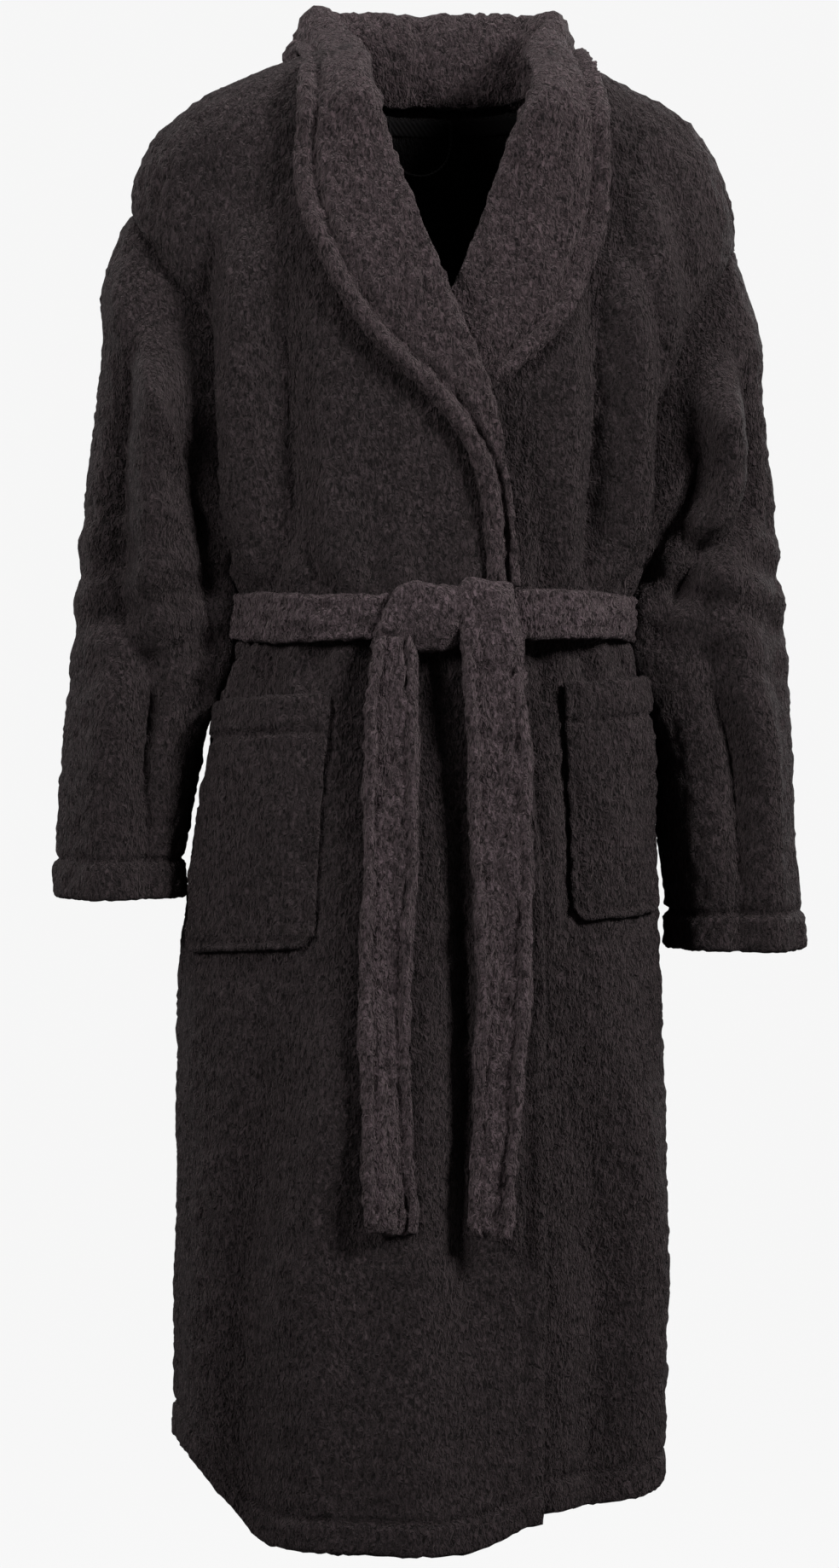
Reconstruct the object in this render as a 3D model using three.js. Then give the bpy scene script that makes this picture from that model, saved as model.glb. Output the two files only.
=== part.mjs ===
// A long fleece bathrobe with a shawl collar, in the shape that it has when worn, tied with its sash.
// Millimetres, +Z up; the front faces -Y, so the wearer's right is at -X. Heights are measured up from
// the hem. The whole robe is moved at the end, so that its origin is the centre back of the neck seam,
// where the wearer's neck or the hanging loop holds it up.
// Every cloth piece is a box bent over one shared surface, the inside of the robe's body, at its own
// distance from it. So layers that lie on each other take their distance from the layers below.

import * as THREE from "three";
import { mergeVertices } from "three/addons/utils/BufferGeometryUtils.js";

// Cloth
const cloth = 7; // one layer of fleece with its pile
const seamGap = 0.3;
const layerEase = 0.8; // between cloths that lie loosely on each other
const rolledCloth = 11; // a collar's two layers where they roll over
const hemCloth = 9; // cloth turned up on itself and sewn down

// Lengths, up from the hem or down from the side of the neck
const robeLength = 1208;
const yokeDrop = 54;
const shoulderDrop = 135;
const chestDrop = 258;
const armpitDrop = 403;
const waistDrop = 462;
const hipDrop = 708;
const backNeckDrop = 40;
const crossingDrop = 186; // where the two fronts cross below the neck
const collarEndDrop = 379;

// Half widths and depths of the inside of the body
const neck = { halfWidth: 80, front: 60, back: 58 };
const shoulderTop = { halfWidth: 121, front: 68, back: 64 };
const yoke = { halfWidth: 201, front: 80, back: 74 };
const shoulder = { halfWidth: 239, front: 92, back: 88 };
const chest = { halfWidth: 198, front: 108, back: 106 };
const armpit = { halfWidth: 158, front: 106, back: 110 };
const waist = { halfWidth: 153, front: 104, back: 110 };
const hip = { halfWidth: 188, front: 128, back: 132 };
const hem = { halfWidth: 199, front: 140, back: 142 };
const squareness = 0.8; // 1 makes the body's sections ellipses, less makes them squarer

// Front opening
const frontEdge = { waist: 52, hip: 74 }; // how far each front reaches past the middle
const bandWidth = 24;
const rightLapelWidth = 80;
const leftLapelWidth = 92;
const collarStand = 71;
const collarFall = 93;
const neckRoll = 26; // how high the lapels stand off the shoulder beside the neck

// Sleeves
const armholeHalfAngle = THREE.MathUtils.degToRad(25);
const rightSleeveLength = 512; // from the shoulder seam to the cuff
const leftSleeveLength = 551;
const sleeveHalfDepth = 62;
const cuffHalfDepth = 58;
const cuffHalfWidth = 45;
const cuffLength = 30;
const underarmClearance = 4; // between a hanging sleeve and the body's side

// Hems, pockets, belt and loops
const hemHeight = 24;
const pocketDrop = { right: 66, left: 50 }; // from the waist to the pocket's mouth, as each front hangs
const pocketHeight = { right: 204, left: 192 };
const pocketFrom = THREE.MathUtils.degToRad(27);
const pocketTo = THREE.MathUtils.degToRad(72);
const pocketHem = 30;
const pocketCloth = 5;
const pocketSlack = 15; // how far the pocket's mouth stands open
const beltWidth = 41;
const beltCloth = 9;
const tailWidth = 44;
const tailLength = 448;
const tailCentre = { right: -45, left: 29 };
const knotTo = 53; // the knot's ends on either side of the middle
const knotFrom = -46;
const knotSplit = 6;
const knotMargin = { right: 3, left: 9 }; // how far each part of the knot reaches past the belt's edges
const loopStrap = 2.5;
const loopWidth = 10;
const hangingLoop = { width: 56, drop: 48, strap: 4, depth: 6 };
const tapeWidth = 14;
const tapeCloth = 2;

const neckHeight = robeLength;
const shoulderHeight = neckHeight - shoulderDrop;
const armpitHeight = neckHeight - armpitDrop;
const waistHeight = neckHeight - waistDrop;
const hipHeight = neckHeight - hipDrop;
const backNeckHeight = neckHeight - backNeckDrop;
const crossingHeight = neckHeight - crossingDrop;
const collarEndHeight = neckHeight - collarEndDrop;
const tailTop = {
  right: waistHeight - beltWidth / 2 - knotMargin.right - layerEase,
  left: waistHeight - beltWidth / 2 - knotMargin.left - layerEase,
};
const fullLift = 2 * (cloth + seamGap) + 3 * layerEase; // of the upper front, over the lower and its band
const sides = { right: -1, left: 1 };

const robe = new THREE.Group();

const fleeceColour = "#4a4040";

function addPiece(name, geometry, colour = fleeceColour) {
  const material = new THREE.MeshStandardMaterial({ color: colour, roughness: 0.95, metalness: 0 });
  const mesh = new THREE.Mesh(geometry, material);
  mesh.name = name;
  robe.add(mesh);
}

// A smooth curve through rows of [place, value, value, ...], as a function of the place.
function smoothRows(rows) {
  const places = rows.map((row) => row[0]);
  const values = rows.flatMap((row) => row.slice(1));
  const width = rows[0].length - 1;
  const curve = new THREE.CubicInterpolant(places, values, width, new Float64Array(width));
  return (place) => Array.from(curve.evaluate(place));
}

function sectionRow(height, section) {
  return [height, section.halfWidth, section.front, section.back];
}

const bodySection = smoothRows([
  sectionRow(0, hem),
  sectionRow(hipHeight, hip),
  sectionRow(waistHeight, waist),
  sectionRow(armpitHeight, armpit),
  sectionRow(neckHeight - chestDrop, chest),
  sectionRow(shoulderHeight, shoulder),
  sectionRow(neckHeight - yokeDrop, yoke),
  sectionRow(neckHeight - 0.28 * yokeDrop, shoulderTop),
  sectionRow(neckHeight, neck),
]);

function power(value) {
  return Math.sign(value) * Math.abs(value) ** squareness;
}

// The inside of the robe's body: the angle is 0 at the front, and positive round to the wearer's left.
function bodySurface(angle, height) {
  const [halfWidth, front, back] = bodySection(height);
  const depth = Math.cos(angle) > 0 ? front : back;
  return new THREE.Vector3(halfWidth * power(Math.sin(angle)), -depth * power(Math.cos(angle)), height);
}

// A point at the given distance outside that surface.
function onBody(angle, height, distance) {
  const turn = 0.01;
  const rise = 2;
  const around = bodySurface(angle + turn, height).sub(bodySurface(angle - turn, height));
  const up = bodySurface(angle, height + rise).sub(bodySurface(angle, height - rise));
  const outwards = around.cross(up).normalize();
  return bodySurface(angle, height).addScaledVector(outwards, distance);
}

// The angle on the front of the body at a distance to the side of the middle.
function angleAt(across, height) {
  const share = THREE.MathUtils.clamp(across / bodySection(height)[0], -1, 1);
  return Math.asin(Math.sign(share) * Math.abs(share) ** (1 / squareness));
}

function signedVolume(geometry) {
  const place = geometry.getAttribute("position");
  const corner = (i) => new THREE.Vector3().fromBufferAttribute(place, geometry.index.getX(i));
  let volume = 0;
  for (let i = 0; i < geometry.index.count; i += 3) {
    volume += corner(i).dot(corner(i + 1).cross(corner(i + 2))) / 6;
  }
  return volume;
}

// Moves each vertex of a closed geometry by a function of its place, and turns the faces of a mirrored
// piece back out.
function bend(geometry, placeOf) {
  geometry.deleteAttribute("normal");
  geometry.deleteAttribute("uv");
  const bent = mergeVertices(geometry, 1e-5);
  const place = bent.getAttribute("position");
  for (let i = 0; i < place.count; i += 1) {
    const moved = placeOf(new THREE.Vector3().fromBufferAttribute(place, i));
    place.setXYZ(i, moved.x, moved.y, moved.z);
  }
  if (signedVolume(bent) < 0) {
    bent.index.array.reverse();
  }
  return bent;
}

// A sheet of cloth: point(u, v, w) for u across, v along and w through it, each from 0 to 1.
function sheet(point, across, along) {
  const box = new THREE.BoxGeometry(1, 1, 1, across, along, 1);
  return bend(box, (p) => point(p.x + 0.5, p.y + 0.5, p.z + 0.5));
}

// A tube of cloth: point(turn, v, w) for the angle round it, v along and w through its wall.
function tube(point, around, along) {
  const profile = [];
  for (let i = 0; i <= along; i += 1) {
    profile.push(new THREE.Vector2(1, i));
  }
  for (let i = along; i >= 0; i -= 1) {
    profile.push(new THREE.Vector2(2, i));
  }
  profile.push(new THREE.Vector2(1, 0));
  const ring = new THREE.LatheGeometry(profile, around);
  return bend(ring, (p) => point(Math.atan2(p.x, p.z), p.y / along, Math.hypot(p.x, p.z) - 1));
}

function smoothStep(value, from, to) {
  return THREE.MathUtils.smoothstep(value, from, to);
}

function mix(from, to, share) {
  return THREE.MathUtils.lerp(from, to, share);
}

// The front edge's distance past the middle, which runs back to the side of the neck above the crossing.
const edgeAt = smoothRows([
  [hipHeight, frontEdge.hip],
  [waistHeight, frontEdge.waist],
  [collarEndHeight, frontEdge.waist - 6],
  [mix(collarEndHeight, crossingHeight, 0.7), 0.5 * frontEdge.waist],
  [crossingHeight, 4],
  [mix(crossingHeight, neckHeight, 0.65), -0.62 * neck.halfWidth],
  [neckHeight, -neck.halfWidth],
]);

// How far the right front stands off the body, over the left front that it crosses.
function liftAt(angle, height) {
  const reach = frontEdge.hip + 8;
  const across = Math.abs(bodySurface(angle, height).x);
  const besideOverlap = 1 - smoothStep(across, reach, 1.8 * reach);
  const aboveCrossing = 1 - smoothStep(height, crossingHeight + 10, crossingHeight + 110);
  return fullLift * besideOverlap * aboveCrossing;
}

// The rows of the body's panels: one at each edge of the belt, so that it lies on flat cloth, and then
// rows that follow the armhole's ring, so that the two match.
const armholeSteps = 7;
const armholeMiddle = (shoulderHeight + armpitHeight) / 2;
const armholeRadius = (shoulderHeight - armpitHeight) / 2;
const beltBottom = waistHeight - beltWidth / 2;
const beltTop = waistHeight + beltWidth / 2;

function evenRows(from, to, steps) {
  return Array.from({ length: steps }, (_, i) => mix(from, to, i / steps));
}

const panelRows = [
  ...evenRows(hemHeight + seamGap, hipHeight, 4),
  ...evenRows(hipHeight, beltBottom, 3),
  beltBottom,
  beltTop,
  ...evenRows(0, armholeSteps, armholeSteps).map(
    (step) => armholeMiddle - armholeRadius * Math.cos((Math.PI * step) / armholeSteps),
  ),
  ...evenRows(shoulderHeight, neckHeight, 5),
  neckHeight,
];

function rowAt(rows, v) {
  const place = v * (rows.length - 1);
  const before = Math.min(Math.floor(place), rows.length - 2);
  return mix(rows[before], rows[before + 1], place - before);
}

// The half angle that the armhole takes out of the body's side at a height.
function armholeAt(height) {
  const share = (height - armholeMiddle) / armholeRadius;
  return armholeHalfAngle * Math.sqrt(Math.max(0, 1 - share * share));
}

function seamAngle(height) {
  return seamGap / 2 / bodySection(height)[1];
}

// Body panels
function frontPanel(side) {
  return sheet((u, v, w) => {
    const height = rowAt(panelRows, v);
    const seam = Math.PI / 2 - seamAngle(height) - armholeAt(height);
    const edge = -angleAt(edgeAt(height)[0], height);
    const angle = side * mix(seam, edge, u);
    const lift = side === sides.right ? liftAt(angle, height) : 0;
    return onBody(angle, height, lift + w * cloth);
  }, 10, panelRows.length - 1);
}

// The back neck curve dips between the two sides of the neck.
function backTop(angle) {
  const toBack = Math.max(0, -Math.cos(angle));
  return neckHeight - backNeckDrop * toBack ** 3;
}

const backColumns = 18;

function backPoint(u, v, distance) {
  const row = rowAt(panelRows, v);
  const seam = Math.PI / 2 + seamAngle(row) + armholeAt(row);
  const angle = mix(seam, 2 * Math.PI - seam, u);
  const drop = (neckHeight - backTop(angle)) * smoothStep(row, shoulderHeight, neckHeight);
  return onBody(angle, row - drop, distance);
}

function backPanel() {
  return sheet((u, v, w) => backPoint(u, v, w * cloth), backColumns, panelRows.length - 1);
}

// Turned hems along the lower edge, a little proud of the cloth above
const hemProud = 1;
const hemLift = { [sides.right]: 2 * layerEase, [sides.left]: 0 };

function skirtHem(from, to, lift, across) {
  return sheet((u, v, w) => {
    const height = v * hemHeight;
    const angle = mix(from, to, u);
    return onBody(angle, height, lift(angle, height) + mix(cloth - hemCloth, cloth, w) + hemProud);
  }, across, 1);
}

function frontHem(side) {
  const seam = side * (Math.PI / 2 - seamAngle(0));
  const edge = -side * angleAt(frontEdge.hip, 0);
  const upper = (angle, height) => liftAt(angle, height) + hemLift[side];
  const lift = side === sides.right ? upper : () => 0;
  return skirtHem(seam, edge, lift, 10);
}

// Shawl collar: a lapel on each front, and the part that stands and falls round the back of the neck
const lapelRows = 16;

function lapelWidthAt(height, fullWidth) {
  const widening = smoothStep(height, collarEndHeight + 20, crossingHeight + 40);
  const round = mix(bandWidth, fullWidth, widening);
  const atNeck = shoulderTop.halfWidth + cloth - neck.halfWidth;
  return mix(round, atNeck, smoothStep(height, neckHeight - 90, neckHeight));
}

function lapel(side, fullWidth) {
  const steps = 6;
  return sheet((u, v, w) => {
    const height = mix(collarEndHeight + seamGap, neckHeight - seamGap, v ** 0.9);
    const width = lapelWidthAt(height, fullWidth);
    const inner = -edgeAt(height)[0];
    const outer = inner + width;
    const slant = 0.42 * width * smoothStep(height, collarEndHeight, crossingHeight);
    const falling = 1 - smoothStep(height, neckHeight - 150, neckHeight);
    const level = height - u * slant * falling;
    const across = mix(inner, outer, u);
    const angle = side * angleAt(across, level);
    const roll = neckRoll * smoothStep(height, crossingHeight + 30, neckHeight) * Math.sin(Math.PI * u ** 0.45);
    const lift = side === sides.right ? liftAt(angle, level) : 0;
    const thickness = mix(cloth, rolledCloth, smoothStep(height, crossingHeight + 20, crossingHeight + 80));
    const off = 3 * layerEase * smoothStep(height, neckHeight - 150, neckHeight - 40);
    return onBody(angle, level, lift + cloth + layerEase + off + roll + w * thickness);
  }, steps, lapelRows);
}

// The height on the shoulders' dome where the body is as wide as this at an angle.
function heightAtRadius(angle, radius) {
  let low = shoulderHeight;
  let high = neckHeight;
  for (let i = 0; i < 20; i += 1) {
    const middle = (low + high) / 2;
    const at = bodySurface(angle, middle);
    if (Math.hypot(at.x, at.y) > radius) {
      low = middle;
    } else {
      high = middle;
    }
  }
  return low;
}

// The back collar's section, from the neck seam up the stand, over the roll and down the fall.
function collarSection(angle) {
  const toBack = Math.max(0, -Math.cos(angle));
  const base = backTop(angle);
  const foot = onBody(angle, base, 0);
  const out = new THREE.Vector3(Math.sin(angle), -Math.cos(angle), 0);
  const rollTop = neckHeight - backNeckDrop + collarStand;
  const fallOut = mix(shoulderTop.halfWidth - neck.halfWidth, 3 * cloth, smoothStep(toBack, 0.2, 0.9));
  const onShoulder = heightAtRadius(angle, Math.hypot(foot.x, foot.y) + fallOut) + 1.4 * cloth;
  const fallTo = Math.max(onShoulder, rollTop - collarFall);
  const at = (distance, height) => foot.clone().setZ(height).addScaledVector(out, distance);
  return new THREE.CatmullRomCurve3([
    at(0, base + 1.18 * cloth),
    at(-2, mix(base, rollTop, 0.65)),
    at(5, rollTop - cloth),
    at(15, rollTop - cloth - 3),
    at(fallOut + 2, mix(fallTo, rollTop, 0.5)),
    at(fallOut, fallTo),
  ]);
}

function backCollar() {
  const seam = Math.PI / 2 + 0.03;
  const steps = 16;
  return sheet((u, v, w) => {
    const angle = mix(seam, 2 * Math.PI - seam, v);
    const section = collarSection(angle);
    const along = section.getTangentAt(u);
    const across = new THREE.Vector3(Math.cos(angle), Math.sin(angle), 0);
    const outwards = along.clone().cross(across).normalize();
    return section.getPointAt(u).addScaledVector(outwards, w * cloth);
  }, 10, steps);
}

// Bands down the two front edges, sewn on the outside from the collar's end to the hem
const bandRows = [
  0,
  hemHeight + 6,
  hemHeight + 14,
  ...panelRows.filter((row) => row > hemHeight + 14 && row < collarEndHeight - 4),
  collarEndHeight - seamGap,
];

function frontBand(side) {
  return sheet((u, v, w) => {
    const height = rowAt(bandRows, v);
    const inner = -edgeAt(height)[0];
    const angle = side * angleAt(mix(inner, inner + bandWidth, u), height);
    const overHem = height < hemHeight + 10 ? hemLift[side] + hemProud : 0;
    const lift = side === sides.right ? liftAt(angle, height) : 0;
    return onBody(angle, height, lift + overHem + cloth + layerEase + w * (cloth - layerEase));
  }, 2, bandRows.length - 1);
}

// Sleeves: each is set onto the armhole's edge, and hangs from it
function armholePoint(side, turn, spread, distance) {
  const height = armholeMiddle + (armholeRadius + spread) * Math.cos(turn);
  const rise = THREE.MathUtils.clamp(height, armpitHeight, shoulderHeight);
  const opening = armholeHalfAngle * Math.sin(turn) + (Math.sin(turn) * spread) / bodySection(rise)[1];
  return onBody(side * (Math.PI / 2 - opening), height, distance);
}

function sleeveAxis(side, length) {
  const end = shoulderHeight - length;
  const inner = bodySection(end - cuffLength)[0] + cloth + underarmClearance + hemCloth;
  const outside = shoulder.halfWidth + cloth;
  const armpitInner = armpit.halfWidth + 2 * cloth + underarmClearance + beltCloth;
  const outer = smoothRows([
    [0, outside + 3, shoulderHeight + 1],
    [0.15, outside + 16, shoulderHeight - 0.15 * length],
    [0.45, outside + 36, shoulderHeight - 0.45 * length],
    [1, inner + 2 * cuffHalfWidth, end],
  ]);
  const inside = smoothRows([
    [0, armpit.halfWidth + cloth + 1, armpitHeight],
    [0.1, armpitInner - 2, armpitHeight - 14],
    [0.45, armpitInner + 1, mix(armpitHeight, end, 0.4)],
    [1, inner, end],
  ]);
  return { outer, inside };
}

function sleeve(side, length) {
  const { outer, inside } = sleeveAxis(side, length);
  const distance = cloth + 2 * layerEase - seamGap;
  const head = 0.12;
  return tube((turn, v, w) => {
    const [outerX, outerZ] = outer(v);
    const [innerX, innerZ] = inside(v);
    const halfDepth = mix(sleeveHalfDepth, cuffHalfDepth, v);
    const hanging = new THREE.Vector3(
      side * (mix(innerX, outerX, (1 + Math.cos(turn)) / 2) + w * cloth * Math.cos(turn)),
      -(halfDepth + w * cloth) * Math.sin(turn),
      mix(innerZ, outerZ, (1 + Math.cos(turn)) / 2),
    );
    const sewn = armholePoint(side, turn, w * cloth, distance);
    return sewn.lerp(hanging, smoothStep(v, 0, head));
  }, 16, 12);
}

function cuff(side, length) {
  const { outer, inside } = sleeveAxis(side, length);
  const [outerX] = outer(1);
  const [innerX] = inside(1);
  const middle = (innerX + outerX) / 2;
  const halfWidth = (outerX - innerX) / 2;
  const top = shoulderHeight - length - seamGap;
  return tube((turn, v, w) => {
    const wall = mix(-1, hemCloth - 1, w);
    return new THREE.Vector3(
      side * (middle + (halfWidth + wall) * Math.cos(turn)),
      -(cuffHalfDepth + wall) * Math.sin(turn),
      top - v * cuffLength,
    );
  }, 16, 2);
}

// Patch pockets, sewn at the sides and the bottom, with the mouth standing open
function pocketSpan(side) {
  const name = side === sides.right ? "right" : "left";
  const top = waistHeight - pocketDrop[name];
  return { top, bottom: top - pocketHeight[name] };
}

function pocketPoint(side, u, height, distance) {
  const { top, bottom } = pocketSpan(side);
  const rise = THREE.MathUtils.clamp((height - bottom) / (top - bottom), 0, 1);
  const slack = pocketSlack * Math.sin(Math.PI * u) ** 0.8 * smoothStep(rise, 0, 0.8);
  const angle = side * mix(pocketTo, pocketFrom, u);
  const lift = side === sides.right ? liftAt(angle, height) : 0;
  return onBody(angle, height, lift + cloth + layerEase + slack + distance);
}

function pocket(side) {
  const { top, bottom } = pocketSpan(side);
  const seam = top - pocketHem - seamGap;
  return sheet((u, v, w) => pocketPoint(side, u, mix(bottom, seam, v), w * pocketCloth), 10, 8);
}

function pocketHemBand(side) {
  const { top } = pocketSpan(side);
  return sheet((u, v, w) => pocketPoint(side, u, top - pocketHem * (1 - v), w * cloth), 10, 2);
}

// Belt: the sash round the waist, its knot at the front and its two hanging ends
function beltDistance(angle) {
  const reach = frontEdge.hip + 8;
  const across = Math.abs(bodySurface(angle, waistHeight).x);
  const front = Math.cos(angle) > 0 ? 1 - smoothStep(across, reach, 1.8 * reach) : 0;
  return cloth + layerEase + seamGap + front * (fullLift + cloth + layerEase);
}

function beltPoint(angle, height, distance) {
  const out = beltDistance(angle) + distance;
  const share = (height - beltBottom) / beltWidth;
  return onBody(angle, beltBottom, out).lerp(onBody(angle, beltTop, out), share).setZ(height);
}

function beltBand() {
  return tube((turn, v, w) => {
    const round = 2.5 * Math.sin(Math.PI * v);
    return beltPoint(turn, mix(beltBottom, beltTop, v), w * (beltCloth - 2.5 + round));
  }, 40, 2);
}

function knotPiece(from, to, margin, thickness) {
  return sheet((u, v, w) => {
    const height = mix(beltBottom - margin, beltTop + margin, v);
    const round = 0.4 + 0.6 * Math.sin(Math.PI * u) ** 0.5 * Math.sin(Math.PI * v) ** 0.5;
    const angle = angleAt(mix(from, to, u), waistHeight);
    return beltPoint(angle, height, beltCloth + layerEase + w * thickness * round);
  }, 6, 6);
}

// The belt's ends hang in front of the skirt, each from just under its own part of the knot.
function beltTail(centre, top) {
  const distance = beltDistance(0) + layerEase;
  return sheet((u, v, w) => {
    const height = top - v * tailLength;
    const angle = angleAt(centre + (u - 0.5) * tailWidth, height);
    const round = 0.6 + 0.4 * Math.sin(Math.PI * u) ** 0.6;
    return onBody(angle, height, distance + w * beltCloth * round).setZ(height);
  }, 4, 14);
}

// Two small loops on the side seams keep the belt in place.
function beltLoop(side) {
  const half = beltWidth / 2 + 3;
  const widest = Math.max(bodySection(waistHeight - half)[0], bodySection(waistHeight + half)[0]);
  const near = widest + cloth + layerEase;
  const far = near + beltCloth + 3;
  const outline = new THREE.Shape();
  outline.moveTo(near, half + loopStrap);
  outline.lineTo(far + loopStrap, half + loopStrap);
  outline.lineTo(far + loopStrap, -half - loopStrap);
  outline.lineTo(near, -half - loopStrap);
  outline.lineTo(near, -half);
  outline.lineTo(far, -half);
  outline.lineTo(far, half);
  outline.lineTo(near, half);
  outline.closePath();
  const strap = new THREE.ExtrudeGeometry(outline, { depth: loopWidth, bevelEnabled: false });
  return bend(strap, (p) => new THREE.Vector3(side * p.x, p.z - loopWidth / 2, waistHeight + p.y));
}

// Inside the back of the neck: a tape over the seam, and the loop that the robe hangs by
function neckTape() {
  const columns = backColumns / 3;
  const topRow = 1 / (panelRows.length - 1);
  return sheet((u, v, w) => {
    const place = mix(columns, 2 * columns, u) / backColumns;
    const inside = -2 * seamGap - w * tapeCloth;
    const top = backPoint(place, 1, inside);
    const below = backPoint(place, 1 - topRow, inside);
    return top.lerp(below, mix(2, 2 + tapeWidth, v) / top.distanceTo(below));
  }, columns, 1);
}

function loopAtNeck() {
  const half = hangingLoop.width / 2;
  const outline = new THREE.Shape();
  outline.moveTo(-half, 0);
  outline.lineTo(-half, half - hangingLoop.drop);
  outline.absarc(0, half - hangingLoop.drop, half, Math.PI, 2 * Math.PI, false);
  outline.lineTo(half, 0);
  outline.lineTo(half - hangingLoop.strap, 0);
  outline.absarc(0, half - hangingLoop.drop, half - hangingLoop.strap, 2 * Math.PI, Math.PI, true);
  outline.lineTo(hangingLoop.strap - half, 0);
  outline.closePath();
  const strap = new THREE.ExtrudeGeometry(outline, {
    depth: hangingLoop.depth,
    bevelEnabled: false,
    curveSegments: 10,
  });
  const lowest = bodySurface(Math.PI, backNeckHeight).y;
  const back = lowest - tapeCloth - 4 * seamGap;
  const top = backNeckHeight - 4;
  return bend(strap, (p) => new THREE.Vector3(p.x, back - p.z, top + p.y));
}

addPiece("back_panel", backPanel());
addPiece("back_hem", skirtHem(Math.PI / 2 + seamAngle(0), 1.5 * Math.PI - seamAngle(0), () => 0, 18));
for (const [name, side] of Object.entries(sides)) {
  const sleeveLength = side === sides.right ? rightSleeveLength : leftSleeveLength;
  addPiece(`${name}_front_panel`, frontPanel(side));
  addPiece(`${name}_front_hem`, frontHem(side));
  addPiece(`${name}_front_band`, frontBand(side));
  addPiece(`${name}_lapel`, lapel(side, side === sides.right ? rightLapelWidth : leftLapelWidth));
  addPiece(`${name}_sleeve`, sleeve(side, sleeveLength));
  addPiece(`${name}_cuff`, cuff(side, sleeveLength));
  addPiece(`${name}_pocket`, pocket(side));
  addPiece(`${name}_pocket_hem`, pocketHemBand(side));
  addPiece(`${name}_belt_tail`, beltTail(tailCentre[name], tailTop[name]));
  addPiece(`${name}_belt_loop`, beltLoop(side));
}
addPiece("back_collar", backCollar());
addPiece("belt_band", beltBand());
addPiece("belt_knot_wrap", knotPiece(knotFrom, knotSplit - seamGap, knotMargin.right, 12));
addPiece("belt_knot_loop", knotPiece(knotSplit, knotTo, knotMargin.left, 17));
addPiece("neck_tape", neckTape(), "#2e2829");
addPiece("hanging_loop", loopAtNeck(), "#2e2829");

robe.position.set(0, -bodySurface(Math.PI, backNeckHeight).y, -backNeckHeight);

export default robe;
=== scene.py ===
# A man's long bathrobe of coral fleece with a shawl collar, a sash and two patch pockets, in the shape
# that it has when worn. Metres, +Z up; the front faces -Y and the wearer's right is at -X. Every layer
# of cloth lies at its own distance outside one shared surface, the inside of the robe's body.

import itertools

import bpy
import numpy as np
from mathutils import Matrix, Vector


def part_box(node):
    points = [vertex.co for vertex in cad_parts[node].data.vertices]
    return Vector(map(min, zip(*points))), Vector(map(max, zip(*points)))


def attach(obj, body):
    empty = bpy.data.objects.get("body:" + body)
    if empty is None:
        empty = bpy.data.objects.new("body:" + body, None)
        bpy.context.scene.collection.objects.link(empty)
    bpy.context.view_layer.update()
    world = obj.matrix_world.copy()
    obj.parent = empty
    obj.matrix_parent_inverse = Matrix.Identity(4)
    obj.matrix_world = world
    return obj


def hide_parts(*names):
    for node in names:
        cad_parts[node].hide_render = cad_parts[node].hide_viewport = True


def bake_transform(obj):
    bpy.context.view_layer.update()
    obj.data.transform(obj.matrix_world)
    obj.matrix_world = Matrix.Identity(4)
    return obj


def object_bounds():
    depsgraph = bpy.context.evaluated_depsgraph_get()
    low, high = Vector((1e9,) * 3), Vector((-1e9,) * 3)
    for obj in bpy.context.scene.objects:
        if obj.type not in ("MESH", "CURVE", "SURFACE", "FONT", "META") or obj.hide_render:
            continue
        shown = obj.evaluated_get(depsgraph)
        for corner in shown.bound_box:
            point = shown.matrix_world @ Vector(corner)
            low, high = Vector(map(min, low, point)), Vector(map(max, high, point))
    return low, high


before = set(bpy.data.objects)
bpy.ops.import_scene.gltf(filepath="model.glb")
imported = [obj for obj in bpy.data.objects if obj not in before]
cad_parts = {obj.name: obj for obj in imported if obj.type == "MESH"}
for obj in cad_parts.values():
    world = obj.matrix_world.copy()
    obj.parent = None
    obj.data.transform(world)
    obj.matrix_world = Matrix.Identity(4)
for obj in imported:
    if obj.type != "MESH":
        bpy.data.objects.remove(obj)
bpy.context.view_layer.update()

# ---------------------------------------------------------------------------------------------------
# Back: one panel of coral fleece, cut wider at the shoulders and the hem than at the waist, sewn to the
# fronts down the sides and over the shoulders. Its lower edge is turned up and stitched.

hem_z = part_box("back_hem")[0].z
axis_y = (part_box("right_cuff")[0].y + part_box("right_cuff")[1].y) / 2
robe_length = 1.208
neck_drop = 0.040
waist = robe_length - 0.462
shoulder_height = robe_length - 0.135
armpit_height = robe_length - 0.403
fleece_layer = 0.007
armhole_middle = (shoulder_height + armpit_height) / 2
armhole_radius = (shoulder_height - armpit_height) / 2
armhole_half_angle = np.radians(25)
seam_overlap = 0.0012 / 0.2  # as an angle: 1.2 mm on a body whose half width is about 0.2 m
hem_turn = 0.027
hem_evens_out = 0.40


def smooth_rows(rows):
    """A cubic through rows of [place, value, ...]: the slope at a row is the mean of those beside it."""
    rows = np.array(rows, float)
    place, value = rows[:, 0], rows[:, 1:]
    slope = np.diff(value, axis=0) / np.diff(place)[:, None]
    slope = np.vstack([slope[:1], (slope[1:] + slope[:-1]) / 2, slope[-1:]])

    def at(where):
        """The values at a place: the two rows beside it and their slopes, by Hermite's four cubics."""
        where = np.asarray(where, float)
        i = np.clip(np.searchsorted(place, where) - 1, 0, len(place) - 2)
        step = (place[i + 1] - place[i])[..., None]
        p = np.clip((where - place[i])[..., None] / step, 0, 1)
        return (
            value[i] * (1 - p) ** 2 * (1 + 2 * p)
            + value[i + 1] * p**2 * (3 - 2 * p)
            + step * (slope[i] * p * (1 - p) ** 2 - slope[i + 1] * p**2 * (1 - p))
        )

    return at


def smooth_step(value, start, end):
    """0 before start, 1 after end, 3t^2 - 2t^3 between them."""
    t = np.clip((value - start) / (end - start), 0, 1)
    return t * t * (3 - 2 * t)


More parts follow.
